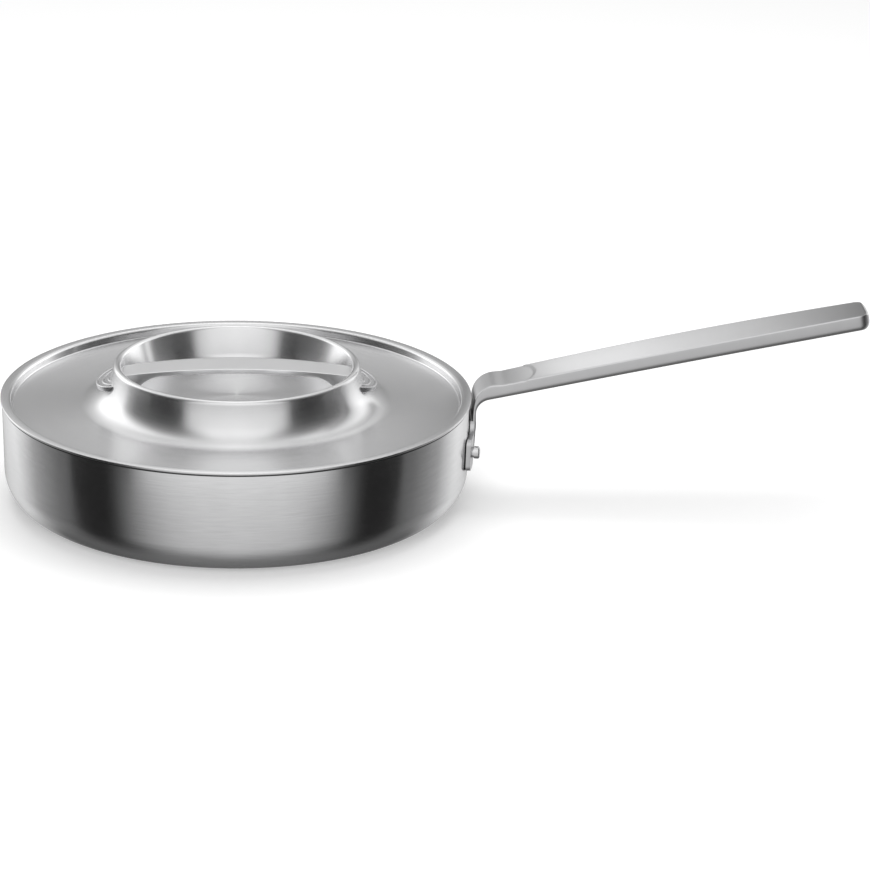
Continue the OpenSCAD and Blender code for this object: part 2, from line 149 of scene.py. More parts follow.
def finish_piece(bm, name, body, node):
    """Makes the mesh an object that rides on a body and stands for the solid of that node."""
    worn = bm.verts.layers.float.new("worn_edge")
    for vert in bm.verts:
        angles = [e.calc_face_angle(0) for e in vert.link_edges if len(e.link_faces) == 2]
        vert[worn] = min(1, max(angles, default=0) / WORN_ANGLE)
    piece = make_object(bm, name)
    piece.data.shade_smooth()
    piece.data.set_sharp_from_angle(angle=math.radians(SMOOTH_ANGLE))
    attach(piece, body)
    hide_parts(node)
    print(name, "rides on", body + ",", len(piece.data.polygons), "faces")
    return piece


# %% [markdown]
# # The clad pan
# The pan is pressed from one sheet of three layers: steel outside, a thick aluminium core and
# steel inside. All three follow the same line, from the middle of the base round the corner and up
# the wall, each at its own depth. So one function gives that line for any depth, and a layer is
# the closed ring between two such lines. At the rim the outer skin is cut with a slope. That slope
# is given a nearly black painted shade, which draws the shadowed gap between lid and wall as a dark
# line, and the rim's inner corner is rounded.

# %% Turn the three layers of the pan
inside_radius = 241 * MM / 2
pan_height = 56 * MM
corner_radius = 18.5 * MM
wall_lean = math.radians(1.2)
skin = 0.5 * MM
core = 1.9 * MM
rim_round = 0.25 * MM
rim_slope_in = 0.42 * MM
rim_slope_down = 0.85 * MM
SAME_PLACE = 0.01 * MM
PAN_CORNER_STEPS = 20

wall = 2 * skin + core
pan_radius = inside_radius + wall / math.cos(wall_lean)
corner_centre = pan_radius - corner_radius * math.cos(wall_lean) - (
    pan_height - corner_radius * (1 - math.sin(wall_lean))) * math.tan(wall_lean)


def pan_line(depth):
    """The pan's outer surface moved inwards by depth, from the axis to the rim.

    Only the outermost line, at depth 0, has the sloped cut.
    """
    corner = arc((corner_centre, corner_radius), corner_radius - depth, -90,
                 -math.degrees(wall_lean), PAN_CORNER_STEPS)
    rim = pan_radius - depth / math.cos(wall_lean)
    if depth:
        return [(0, depth)] + corner + [(rim, pan_height)]
    return [(0, 0)] + corner + [
        (rim - rim_slope_down * math.tan(wall_lean), pan_height - rim_slope_down),
        (rim - rim_slope_in, pan_height)]


def pan_layer(node, outer, inner, open_inside=False):
    """One layer of the sheet. Its inner rim corner is rounded where the pan is open inside."""
    bm = turn_profile(pan_line(outer) + pan_line(inner)[::-1])
    if open_inside:
        free = pan_radius - inner / math.cos(wall_lean)
        round_off(bm, [e for e in bm.edges if all(
            abs(v.co.z - pan_height) < SAME_PLACE and abs(v.co.xy.length - free) < SAME_PLACE
            for v in e.verts)], rim_round)
    return finish_piece(bm, "brushed_" + node, "pan", node)


outer_skin = pan_layer("pan_outer_skin", 0, skin)
pan_core = pan_layer("pan_core", skin, skin + core)
inner_skin = pan_layer("pan_inner_skin", skin + core, wall, open_inside=True)

# %% [markdown]
# # The crater lid
# The lid is one pressed sheet. From the middle outwards it makes a bowl, folds over the rim of the
# bowl, falls down a hollow slope to a flat sunken field, and steps up to the flange that lies on
# the pan's rim. The bowl's wall leans outwards, so that it mirrors the bright cloth over the pan
# and not its own other side. Because the thickness is the same all over, only the middle line of
# the sheet is spun. The Solidify modifier then gives it its thickness to both sides, and a small
# Bevel rounds the cut edge of the flange.
#
# The slope starts where the fold ends, and in the same direction, and the round foot of the slope
# starts in the same way. The radius of the slope's hollow is worked out from that, so that the
# sheet reaches the height of the field without a corner.

# %% Values of the lid
sheet = 1.2 * MM
flange_past_wall = 0.7 * MM
field_depth = 4.2 * MM
step_radius = 1.4 * MM
step_lean = math.radians(15)
flange_inset = 0.3 * MM
crest_radius = 125.5 * MM / 2
crater_height = 20.9 * MM
fold_radius = 2.15 * MM
bowl_depth = 17.6 * MM
bowl_corner = 6.5 * MM
bowl_wall_lean = 20     # these three leans are in degrees from upright
slope_top_lean = 10
slope_foot_lean = 28
slope_foot_radius = 15.5 * MM
lip_round = 0.4 * MM
LIP_ANGLE = math.radians(60)
LONG_ARC_STEPS = 20
BOWL_CORNER_STEPS = 18
SLOPE_FOOT_STEPS = 14
STEP_ARC_STEPS = 8

half_sheet = sheet / 2
flange_height = pan_height + half_sheet
field_height = flange_height - field_depth
crest_height = field_height + half_sheet + crater_height
fold_centre = Vector((crest_radius, crest_height - fold_radius))
bowl_radius = crest_radius - fold_radius
bowl_floor = crest_height - bowl_depth
bowl_sine = math.sin(math.radians(bowl_wall_lean))
bowl_cosine = math.cos(math.radians(bowl_wall_lean))
corner_height = bowl_floor + bowl_corner
bowl_corner_centre = fold_centre.x - (fold_radius + bowl_corner) / bowl_cosine - (
    fold_centre.y - corner_height) * bowl_sine / bowl_cosine
lid_radius = pan_radius + flange_past_wall
print("lid radius in mm:", round(lid_radius / MM, 1), "crest in mm:", round(crest_height / MM, 1))

# %% Draw the bowl and the fold
bowl_line = [(0, bowl_floor - half_sheet)] + arc(
    (bowl_corner_centre, corner_height), bowl_corner + half_sheet, -90, -bowl_wall_lean,
    BOWL_CORNER_STEPS)
fold_line = arc(fold_centre, fold_radius - half_sheet, 180 - bowl_wall_lean, slope_top_lean,
                LONG_ARC_STEPS)


def bowl_height(distance):
    """Height of the bowl's upper face at a distance from the axis: floor, corner, then wall."""
    over = distance - bowl_corner_centre
    if over <= 0:
        return bowl_floor
    if over < bowl_corner * bowl_cosine:
        return corner_height - math.sqrt(bowl_corner ** 2 - over ** 2)
    return (corner_height - bowl_corner * bowl_sine
            + (over - bowl_corner * bowl_cosine) * bowl_cosine / bowl_sine)


print("bowl: floor at", round(bowl_floor / MM, 1), "mm,", len(bowl_line), "points")

# %% Draw the slope and the flange


def towards(degrees):
    """A direction in the profile, as seen from an arc's centre."""
    return Vector((math.cos(math.radians(degrees)), math.sin(math.radians(degrees))))


slope_top = fold_centre + (fold_radius - half_sheet) * towards(slope_top_lean)
foot_mid_radius = slope_foot_radius + half_sheet
foot_sine = math.sin(math.radians(slope_foot_lean))
top_sine = math.sin(math.radians(slope_top_lean))
slope_radius = (slope_top.y - field_height - foot_mid_radius * (1 - foot_sine)) / (
    foot_sine - top_sine)
slope_centre = slope_top + slope_radius * towards(slope_top_lean)
slope_foot = slope_centre - slope_radius * towards(slope_foot_lean)
foot_centre = slope_foot + foot_mid_radius * towards(slope_foot_lean)
slope_line = arc(slope_centre, slope_radius, 180 + slope_top_lean, 180 + slope_foot_lean,
                 LONG_ARC_STEPS)
foot_line = arc(foot_centre, foot_mid_radius, 180 + slope_foot_lean, 270, SLOPE_FOOT_STEPS)

flange_start = inside_radius - flange_inset
step_rise = field_depth - 2 * step_radius * (1 - math.sin(step_lean))
step_foot = flange_start - 2 * step_radius * math.cos(step_lean) - step_rise * math.tan(step_lean)
step_line = arc((step_foot, field_height + step_radius), step_radius, -90,
                -math.degrees(step_lean), STEP_ARC_STEPS)
bend_line = arc((flange_start, flange_height - step_radius), step_radius,
                180 - math.degrees(step_lean), 90, STEP_ARC_STEPS)
print("slope: hollow radius in mm:", round(slope_radius / MM, 1))

# %% Spin the lid
lid_line = (bowl_line + fold_line[1:] + slope_line[1:] + foot_line[1:] + step_line + bend_line
            + [(lid_radius, flange_height)])
lid_bm = turn_profile(lid_line, closed=False)
spun_lid = finish_piece(lid_bm, "spun_lid_shell", "lid", "lid_shell")
thickness = spun_lid.modifiers.new("sheet thickness", "SOLIDIFY")
thickness.thickness = sheet
thickness.offset = 0
thickness.use_even_offset = True
lip = spun_lid.modifiers.new("round lip", "BEVEL")
lip.limit_method = "ANGLE"
lip.angle_limit = LIP_ANGLE
lip.width = lip_round
lip.segments = 3
print("lid line:", len(lid_line), "points")

# %% [markdown]
# # The bridge strap
# A strap bridges the bowl of the lid and is the lid's grip. It is arched, a little narrower at
# both ends, and a thick haunch runs down under each end to the bowl's wall. It starts as a flat
# grid that is extruded once into a slab. After that every vertex of the slab is moved: its side
# place follows the waist, its end follows the round wall and its top follows the arch. Its
# underside follows the arch and the haunch, and rests on the bowl's leaning wall where that is
# higher, but leaves a thin end. Last, all the long edges are rounded.

# %% Shape the strap
strap_width = 20.2 * MM
strap_waist = 3.2 * MM
strap_thickness = 2.4 * MM
strap_below_crest = 0.45 * MM
strap_drop = 4.4 * MM
haunch_radius = 17 * MM
haunch_foot = 5.6 * MM
strap_edge = 0.55 * MM
strap_end = 1.6 * MM
STRAP_STATIONS = 96
STRAP_LANES = 12
STRAP_CORNER = 50   # degrees between two faces, past which their edge is rounded

strap_top = crest_height - strap_below_crest
arch_radius = (bowl_radius ** 2 + strap_drop ** 2) / (2 * strap_drop)
side_radius = (bowl_radius ** 2 + (strap_waist / 2) ** 2) / strap_waist


def arch_height(along, depth):
    """Height of the arch at a distance along from the middle, depth below its top."""
    return strap_top - arch_radius + math.sqrt((arch_radius - depth) ** 2 - along ** 2)


haunch_x = bowl_radius - haunch_foot - haunch_radius
haunch_z = arch_height(haunch_x, strap_thickness) - haunch_radius


def underside(along, across):
    """Height of the underside: thin arch, round haunch, then its seat on the bowl's wall."""
    distance = abs(along)
    if distance < haunch_x:
        return arch_height(along, strap_thickness)
    over = min(haunch_radius, distance - haunch_x)
    haunch = haunch_z + math.sqrt(haunch_radius ** 2 - over ** 2)
    seat = bowl_height(math.hypot(along, across))
    return min(max(haunch, seat), arch_height(along, 0) - strap_end)


strap_bm = bmesh.new()
bmesh.ops.create_grid(strap_bm, x_segments=STRAP_STATIONS, y_segments=STRAP_LANES, size=1)
slab = bmesh.ops.extrude_face_region(strap_bm, geom=strap_bm.faces[:])
lower = {v for v in slab["geom"] if isinstance(v, bmesh.types.BMVert)}
for vert in strap_bm.verts:
    share, lane = math.sin(vert.co.x * math.pi / 2), vert.co.y
    along = share * bowl_radius
    across = lane * (strap_width / 2 - along ** 2 / (2 * side_radius))
    along = share * math.sqrt(bowl_radius ** 2 - across ** 2)
    height = underside(along, across) if vert in lower else arch_height(along, 0)
    vert.co = (along, across, height)
bmesh.ops.recalc_face_normals(strap_bm, faces=strap_bm.faces)
round_off(strap_bm, sharp_lines(strap_bm, STRAP_CORNER), strap_edge)
strap = finish_piece(strap_bm, "bridge_strap", "lid", "lid_strap")

# %% [markdown]
# # The two end lugs
# Outside the crater, below each end of the strap, sits a half round lug with turned rings on its
# face. Each one is a round plate, spun from a profile with three round beads, tilted down and
# then cut off by a plane just behind the crater's slope, where the cut can't be seen. The cut is
# closed with a face. The same steps make both lugs, and the left one is mirrored at the end.

# %% Turn the lugs
lug_radius = 19.5 * MM
lug_reach = 11.5 * MM
lug_thickness = 3 * MM
lug_depth = 7.9 * MM
lug_tilt = math.radians(16)
ring_width = 1.6 * MM
ring_height = 0.5 * MM
lug_cut = 62 * MM
lug_round = 0.7 * MM
LUG_RINGS = 3
LUG_SPIN_STEPS = 160
BEAD_STEPS = 10

lug_tip = crest_radius + lug_reach
lug_x = lug_tip - lug_radius * math.cos(lug_tilt)
lug_z = crest_height - lug_depth + (lug_tip - lug_x) / 2 * math.tan(lug_tilt)
lug_face = -ring_height


def lug_profile():
    """Section of the plate: flat back, round rim, beads with flat grooves, low middle."""
    line = [(0, -lug_thickness)] + arc((lug_radius - lug_round, -lug_thickness + lug_round),
                                       lug_round, -90, 0, BEAD_STEPS // 2)
    bead = ring_width / 2
    for ring in range(LUG_RINGS):
        middle = lug_radius - bead - 2 * ring * ring_width
        line += [(middle + bead * math.cos(a), lug_face + ring_height * math.sin(a))
                 for a in [math.pi * i / BEAD_STEPS for i in range(BEAD_STEPS + 1)]]
    return line + [(0, lug_face)]


def make_lug(name, node, side):
    """A lug on the right (side 1) or on the left (side -1) of the crater."""
    bm = turn_profile(lug_profile(), steps=LUG_SPIN_STEPS)
    bmesh.ops.rotate(bm, verts=bm.verts, cent=(0, 0, 0), matrix=Matrix.Rotation(lug_tilt, 3, "Y"))
    bmesh.ops.translate(bm, verts=bm.verts, vec=(lug_x, 0, lug_z))
    bmesh.ops.bisect_plane(bm, geom=bm.verts[:] + bm.edges[:] + bm.faces[:], dist=0,
                           plane_co=(lug_cut, 0, 0), plane_no=(1, 0, 0), clear_inner=True)
    open_edges = [e for e in bm.edges if len(e.link_faces) == 1]
    bmesh.ops.holes_fill(bm, edges=open_edges, sides=0)
    if side < 0:
        bmesh.ops.scale(bm, verts=bm.verts, vec=(-1, 1, 1))
    bmesh.ops.recalc_face_normals(bm, faces=bm.faces)
    return finish_piece(bm, name, "lid", node)


lug_right = make_lug("turned_lug_right", "lug_right", 1)
lug_left = make_lug("turned_lug_left", "lug_left", -1)

# %% [markdown]
# # The cast handle
# The handle is one casting: a wide foot on the pan's wall, a thin neck that leans away from the
# lid, a bend, and a long grip with a soft crown, two crisp upper edges, round lower edges and a
# shallow place for the thumb. It is drawn the way a loft is drawn: a ring of edges is extruded
# again and again, and each new ring is moved to its station, which says where the top and the
# underside lie, how wide the ring is and how deep the thumb place is.

# %% Values of the handle
grip_angle = math.radians(11.6)
grip_length = 201.5 * MM
grip_width = 28.5 * MM
grip_waist = 4.6 * MM
grip_thickness = 8.2 * MM
grip_end_thickness = 9.2 * MM
grip_bow = 1.1 * MM
grip_crown = 0.3 * MM
lower_edge = 3.5 * MM
crease = 0.8 * MM
end_radius = 6 * MM
end_chamfer = 1.4 * MM
thumb_depth = 0.7 * MM
thumb_length = 24 * MM
thumb_start = 7 * MM
thumb_step = 1.7 * MM
thumb_tip = 0.55    # how far its round end reaches back at the sides, in half widths
thumb_sides = 0.9   # how far that round runs out to the sides, where 1 is a full half circle
outer_bend = 12 * MM
inner_bend = 8 * MM
neck_thickness = 2.15 * MM
neck_gap = 0.7 * MM
neck_lean_radius = 72 * MM
neck_lean = math.radians(9.5)
foot_width = 56 * MM
foot_height = 17.4 * MM
foot_bottom = 22.6 * MM
foot_thickness = 2.8 * MM
foot_corner = 3.5 * MM
belly_share = 0.52
NECK_STATIONS = 8
BEND_STATIONS = 28
THUMB_STATIONS = 59
THUMB_SPACING = 0.6 * MM
GRIP_STATIONS = 70
END_STATIONS = 14

neck_x = pan_radius + neck_gap
neck_z = foot_bottom + foot_height
lean_top = neck_x + neck_lean_radius * (1 - math.cos(neck_lean))
bend_z = neck_z + foot_corner + neck_lean_radius * math.sin(neck_lean)
outer_centre = Vector((lean_top + outer_bend * math.cos(neck_lean),
                       bend_z - outer_bend * math.sin(neck_lean)))
grip_along = Vector((math.cos(grip_angle), math.sin(grip_angle)))
grip_up = Vector((-math.sin(grip_angle), math.cos(grip_angle)))
grip_root = outer_centre + outer_bend * grip_up
inner_x = neck_x + neck_thickness + inner_bend
inner_centre = Vector((inner_x, (
    (grip_root - (grip_thickness + inner_bend) * grip_up).dot(grip_up)
    + inner_x * math.sin(grip_angle)) / math.cos(grip_angle)))
root_skew = (inner_centre + inner_bend * grip_up - grip_root).dot(grip_along)
belly = grip_length * belly_share
grip_side_radius = (belly ** 2 + (grip_waist / 2) ** 2) / grip_waist
root_width = grip_width - grip_waist
print("grip root in mm:", [round(c / MM, 1) for c in grip_root])

# %% [markdown]
# A station is one place along the handle: where its top and its underside lie, how wide half of it
# is, and how far along the grip it comes. The neck's stations climb the arc on the lid's side,
# those of the bend turn round its two centres, and those of the grip run along it, with the sides
# swelling to the belly. They stand closer in the thumb place, because its end is a small step, and
# the last few draw in quickly to make the rounded end.

# %% Place the stations


def ease(x, first, last):
    """Goes smoothly from 0 at first to 1 at last."""
    share = max(0, min(1, (x - first) / (last - first)))
    return share * share * (3 - 2 * share)


def grip_station(x, drop=0, rise=0, trim=0):
    """A station of the grip. drop lowers its top, rise lifts its underside, trim narrows it."""
    thick = grip_thickness + (grip_end_thickness - grip_thickness) * x / grip_length
    skew = root_skew * (1 - max(0, min(1, x / thumb_length)))
    bow = grip_bow * math.sin(math.pi * x / grip_length)
    return {"top": grip_root + x * grip_along + (bow - drop) * grip_up,
            "under": grip_root + (x + skew) * grip_along + (bow + rise - thick) * grip_up,
            "half": grip_width / 2 - (x - belly) ** 2 / (2 * grip_side_radius) - trim,
            "x": x}


def root_station(top, under):
    """A station of the neck or the bend, which are as wide as the grip's root."""
    return {"top": top, "under": under, "half": root_width / 2, "x": 0}


def neck_and_bend_stations():
    """Stations from inside the foot up the neck and round the bend."""
    start = foot_bottom + foot_corner
    stations = [root_station(Vector((neck_x, start)),
                             Vector((neck_x + neck_thickness / 2, start)))]
    low = Vector((neck_x + neck_lean_radius, neck_z + foot_corner))
    for i in range(NECK_STATIONS + 1):
        share = i / NECK_STATIONS
        stations.append(root_station(
            low + neck_lean_radius * towards(180 - math.degrees(neck_lean) * share),
            Vector((neck_x + neck_thickness, low.y + (inner_centre.y - low.y) * share))))
    for i in range(1, BEND_STATIONS + 1):
        share = i / BEND_STATIONS
        outer_turn = 180 - math.degrees(neck_lean) - share * (
            90 - math.degrees(neck_lean + grip_angle))
        inner_turn = 180 - share * (90 - math.degrees(grip_angle))
        stations.append(root_station(outer_centre + outer_bend * towards(outer_turn),
                                     inner_centre + inner_bend * towards(inner_turn)))
    return stations


def grip_stations():
    """Stations along the grip and round its end."""
    near = [THUMB_SPACING * i for i in range(1, THUMB_STATIONS + 1)]
    rest = grip_length - end_radius - near[-1]
    far = [near[-1] + rest * i / GRIP_STATIONS for i in range(1, GRIP_STATIONS + 1)]
    stations = [grip_station(x) for x in near + far]
    for i in range(1, END_STATIONS + 1):
        turn = math.pi / 2 * i / END_STATIONS
        x = grip_length - end_radius * (1 - math.sin(turn))
        over = max(0, x - grip_length + lower_edge)
        stations.append(grip_station(
            x, max(0, x - grip_length + end_chamfer),
            lower_edge - math.sqrt(lower_edge ** 2 - over ** 2),
            end_radius * (1 - math.cos(turn))))
    return stations


stations = neck_and_bend_stations() + grip_stations()
print("stations:", len(stations))

# %% [markdown]
# The ring at a station is a rounded section. Its top is crowned across the grip and lies deeper in
# the thumb place, whose far end is round like the tip of a thumb. The upper edges are small arcs,
# so they stay crisp, and the lower edges are large ones. Each ring is the one before it, extruded
# and moved.

# %% Loft the neck and grip
TOP_LANES = 24
EDGE_LANES = 5


def top_depth(x, lane, half):
    """How far the top lies below its station at side place lane, from -1 to 1."""
    crown = grip_crown * ease(x, 0, thumb_length) * lane ** 2
    round_end = thumb_length + half * thumb_tip * (
        math.sqrt(1 - min(1, abs(lane)) ** 2 * thumb_sides) - 1)
    thumb = thumb_depth * ease(x, 0, thumb_start) * (
        1 - ease(x, round_end - thumb_step, round_end))
    return max(crown, thumb)


def section(station):
    """Ring of points as (side place, depth below the top)."""
    thick = (station["under"] - station["top"]).length
    half, x = station["half"], station["x"]
    small, large = min(crease, thick / 4), min(lower_edge, thick / 2)
    flat = half - small
    lanes = [2 * i / TOP_LANES - 1 for i in range(TOP_LANES + 1)]
    top = [(flat * lane, top_depth(x, lane, half)) for lane in lanes]
    edge_depth = top[-1][1] + small
    upper = arc((flat, -edge_depth), small, 90, 0, EDGE_LANES)[1:]
    lower = arc((half - large, large - thick), large, 0, -90, EDGE_LANES)
    side = [(y, -depth) for y, depth in upper + lower]
    return top + side + [(-y, depth) for y, depth in reversed(side)]


def ring_places(station):
    """The same ring as places in the pan's frame."""
    down = (station["under"] - station["top"]).normalized()
    places = []
    for across, depth in section(station):
        point = station["top"] + depth * down
        places.append(Vector((point.x, across, point.y)))
    return places


handle_bm = bmesh.new()
ring = [handle_bm.verts.new(place) for place in ring_places(stations[0])]
loop = [handle_bm.edges.new(pair) for pair in zip(ring, ring[1:] + ring[:1])]
handle_bm.faces.new(ring)
for station in stations[1:]:
    made = bmesh.ops.extrude_edge_only(handle_bm, edges=loop)["geom"]
    loop = [e for e in made if isinstance(e, bmesh.types.BMEdge)]
    new_verts = [v for v in made if isinstance(v, bmesh.types.BMVert)]
    for vert, place in zip(new_verts, ring_places(station)):
        vert.co = place
bmesh.ops.holes_fill(handle_bm, edges=loop, sides=0)
print("loft:", len(handle_bm.faces), "faces")

# %% [markdown]
# The foot is drawn flat, as one face with its round corners and the wide fillets up into the neck.
# It is cut into narrow strips, pushed out to its thickness and then wrapped: each vertex keeps its
# side place and height, and moves to the pan's outer wall. The strips are what lets a flat face
# follow a curve. Its front edge is rounded. Its back edge is cut flat and given a nearly black
# painted shade, which draws the shadowed contact line between foot and wall. It goes into the same
# mesh as the loft, because both are one casting.

# %% Wrap the foot round the wall
FOOT_STRIP = 1.5 * MM
foot_edge = 0.45 * MM
foot_gap_edge = 0.5 * MM
neck_fillet = 5.5 * MM
FOOT_CORNER_STEPS = 8
NECK_FILLET_STEPS = 12
FOOT_SHARP = 60   # degrees between two faces, past which their edge is rounded or cut


def foot_outline():
    """Front view of the foot, as (side place, height above its lower edge), going round once."""
    corner_y = foot_width / 2 - foot_corner
    right_side = (arc((corner_y, foot_corner), foot_corner, -90, 0, FOOT_CORNER_STEPS)
                  + arc((corner_y, foot_height - foot_corner), foot_corner, 0, 90,
                        FOOT_CORNER_STEPS)
                  + arc((root_width / 2 + neck_fillet, foot_height + neck_fillet), neck_fillet,
                        -90, -180, NECK_FILLET_STEPS))
    return right_side + [(-y, z) for y, z in reversed(right_side)]


foot_bm = bmesh.new()
outline = [foot_bm.verts.new((0, y, foot_bottom + z)) for y, z in foot_outline()]
foot_bm.faces.new(outline)
for strip in range(1, int(foot_width / FOOT_STRIP)):
    bmesh.ops.bisect_plane(foot_bm, geom=foot_bm.verts[:] + foot_bm.edges[:] + foot_bm.faces[:],
                           dist=0, plane_co=(0, strip * FOOT_STRIP - foot_width / 2, 0),
                           plane_no=(0, 1, 0))
pushed = bmesh.ops.extrude_face_region(foot_bm, geom=foot_bm.faces[:])
front = [v for v in pushed["geom"] if isinstance(v, bmesh.types.BMVert)]
bmesh.ops.translate(foot_bm, verts=front, vec=(foot_thickness, 0, 0))
bmesh.ops.recalc_face_normals(foot_bm, faces=foot_bm.faces)
round_off(foot_bm, [e for e in sharp_lines(foot_bm, FOOT_SHARP)
                    if all(v.co.x > foot_thickness / 2 for v in e.verts)], foot_edge)
back_lines = [e for e in sharp_lines(foot_bm, FOOT_SHARP)
              if all(v.co.x < foot_gap_edge / 2 for v in e.verts)]
shaded_back_bevel = bmesh.ops.bevel(foot_bm, geom=back_lines, offset=foot_gap_edge, segments=1,
                           affect="EDGES", profile=0.5, material=-1)
# These back faces get a nearly black painted shade, the shadow in the contact line between foot and
# wall.
for face in shaded_back_bevel["faces"]:
    face.material_index = 1
for vert in foot_bm.verts:
    reach = pan_radius - (pan_height - vert.co.z) * math.tan(wall_lean) + vert.co.x
    vert.co.x = math.sqrt(reach ** 2 - vert.co.y ** 2)
foot_mesh = bpy.data.meshes.new("handle foot")
foot_bm.to_mesh(foot_mesh)
foot_bm.free()
handle_bm.from_mesh(foot_mesh)
bpy.data.meshes.remove(foot_mesh)
bmesh.ops.recalc_face_normals(handle_bm, faces=handle_bm.faces)
handle = finish_piece(handle_bm, "cast_handle", "pan", "handle")

# %% [markdown]
# # The rivets
# Two rivets hold the foot. Outside, each has a small button head on a collar, and inside the pan a
# wide, low dome that is easy to wipe clean. A rivet is turned upright, with a small round at the
# top of its head, then laid on its side and swung to its place on the wall.

# %% Turn the rivets
rivet_pitch = 41 * MM
shank = 4.8 * MM
head = 6.6 * MM
head_height = 3.8 * MM
inner_head = 10 * MM
inner_height = 1.6 * MM
seat_gap = 0.02 * MM
collar_width = (shank + head) / 2
collar_height = head_height / 4
button_round = head / 7
RIVET_SPIN_STEPS = 64
DOME_STEPS = 10
BUTTON_STEPS = 8

rivet_height = foot_bottom + foot_height / 2
wall_at_rivet = pan_radius - (pan_height - rivet_height) * math.tan(wall_lean)
foot_face = wall_at_rivet + foot_thickness
rivet_turn = math.asin(rivet_pitch / 2 / foot_face)


def rivet_profile():
    """Half section along the rivet's own axis, from the inner dome out to the button head."""
    inner_reach, head_reach = inner_head / 2, head / 2
    inner_wall = wall_at_rivet - wall / math.cos(wall_lean)
    seat_in = (math.sqrt(inner_wall ** 2 - inner_reach ** 2)
               - inner_reach * math.tan(wall_lean) - seat_gap)
    seat_out = foot_face + head_reach * math.tan(wall_lean) + seat_gap
    dome = (inner_reach ** 2 + inner_height ** 2) / (2 * inner_height)
    dome_end = math.degrees(math.asin(inner_reach / dome)) - 90
    collar, button_foot = collar_width / 2, seat_out + collar_height
    top = seat_out + head_height
    return (arc((0, seat_in - inner_height + dome), dome, -90, dome_end, DOME_STEPS)
            + [(shank / 2, seat_in), (shank / 2, seat_out), (collar, seat_out)]
            + [(collar, button_foot), (head_reach, button_foot)]
            + arc((head_reach - button_round, top - button_round), button_round, 0, 90,
                  BUTTON_STEPS) + [(0, top)])


def make_rivet(name, node, side):
    """The front rivet is at side -1 and the rear one at side 1."""
    bm = turn_profile(rivet_profile(), closed=False, steps=RIVET_SPIN_STEPS)
    bmesh.ops.rotate(bm, verts=bm.verts, cent=(0, 0, 0),
                     matrix=Matrix.Rotation(math.pi / 2, 3, "Y"))
    bmesh.ops.rotate(bm, verts=bm.verts, cent=(0, 0, 0),
                     matrix=Matrix.Rotation(side * rivet_turn, 3, "Z"))
    bmesh.ops.translate(bm, verts=bm.verts, vec=(0, 0, rivet_height))
    return finish_piece(bm, name, "pan", node)


rivet_front = make_rivet("turned_rivet_front", "rivet_front", -1)
rivet_rear = make_rivet("turned_rivet_rear", "rivet_rear", 1)

# %% [markdown]
# # The brushed finish
# Steel looks like steel because of very fine lines in its surface. Turned pieces have them round
# the axis, and the cast pieces have them along their length. Both are noise that is stretched a
# long way in one direction. For turned pieces the direction itself has to go round, so the noise
# is four-dimensional: two inputs are the place on the unit circle, which joins up with itself, and
# the other two are the distance from the axis and the height. The lines go into a node group with
# named inputs, and each finish sets its own spacing and its own run. For straight lines the run is
# their length. For turned lines it is the size of the circle that one turn makes in the noise, so
# a larger run makes shorter lines.

# %% Helpers for node groups
NOISE_ROUGHNESS = 0.6
FLOAT, VECTOR, COLOR = "NodeSocketFloat", "NodeSocketVector", "NodeSocketColor"


def new_group(name, inputs, outputs):
    """A shader node group with the given sockets. Inputs are (name, kind, value)."""
    group = bpy.data.node_groups.new(name, "ShaderNodeTree")
    for label, kind, value in inputs:
        socket = group.interface.new_socket(name=label, in_out="INPUT", socket_type=kind)
        socket.default_value = value
    for label, kind in outputs:
        group.interface.new_socket(name=label, in_out="OUTPUT", socket_type=kind)
    return group, group.nodes.new("NodeGroupInput"), group.nodes.new("NodeGroupOutput")


def feed(tree, sockets, values):
    """Joins each socket to the output given for it, or sets it to the number given for it."""
    for socket, value in zip(sockets, values):
        if isinstance(value, (int, float)):
            socket.default_value = value
        else:
            tree.links.new(value, socket)


def calc(tree, operation, *values, clamp=False):
    """A Math node fed with outputs or numbers."""
    node = tree.nodes.new("ShaderNodeMath")
    node.operation = operation
    node.use_clamp = clamp
    feed(tree, node.inputs, values)
    return node.outputs[0]


def line_noise(tree, vector, fourth, detail=3.0):
    """Noise in four dimensions, already scaled, with a fine grain."""
    noise = tree.nodes.new("ShaderNodeTexNoise")
    noise.noise_dimensions = "4D"
    noise.inputs["Scale"].default_value = 1
    noise.inputs["Detail"].default_value = detail
    noise.inputs["Roughness"].default_value = NOISE_ROUGHNESS
    tree.links.new(vector, noise.inputs["Vector"])
    tree.links.new(fourth, noise.inputs["W"])
    return noise.outputs["Fac"]


def join(tree, x, y, z):
    """A vector made of three outputs."""
    node = tree.nodes.new("ShaderNodeCombineXYZ")
    feed(tree, node.inputs, (x, y, z))
    return node.outputs[0]


def line_group(name):
    """An empty line group with its input and output nodes and the three parts of its place."""
    tree, given, out = new_group(
        name, [("Place", VECTOR, (0, 0, 0)), ("Line Spacing", FLOAT, 0.3 * MM),
               ("Run", FLOAT, 3.0), ("Cloud Size", FLOAT, 20 * MM)],
        [("Lines", FLOAT), ("Clouds", FLOAT)])
    split = tree.nodes.new("ShaderNodeSeparateXYZ")
    tree.links.new(given.outputs["Place"], split.inputs[0])
    return tree, given, out, split.outputs


print("helpers are ready")

# %% Build the turned lines
AXIS_REACH = 0.5 * MM   # nearer to the axis than this, the lines stop going round

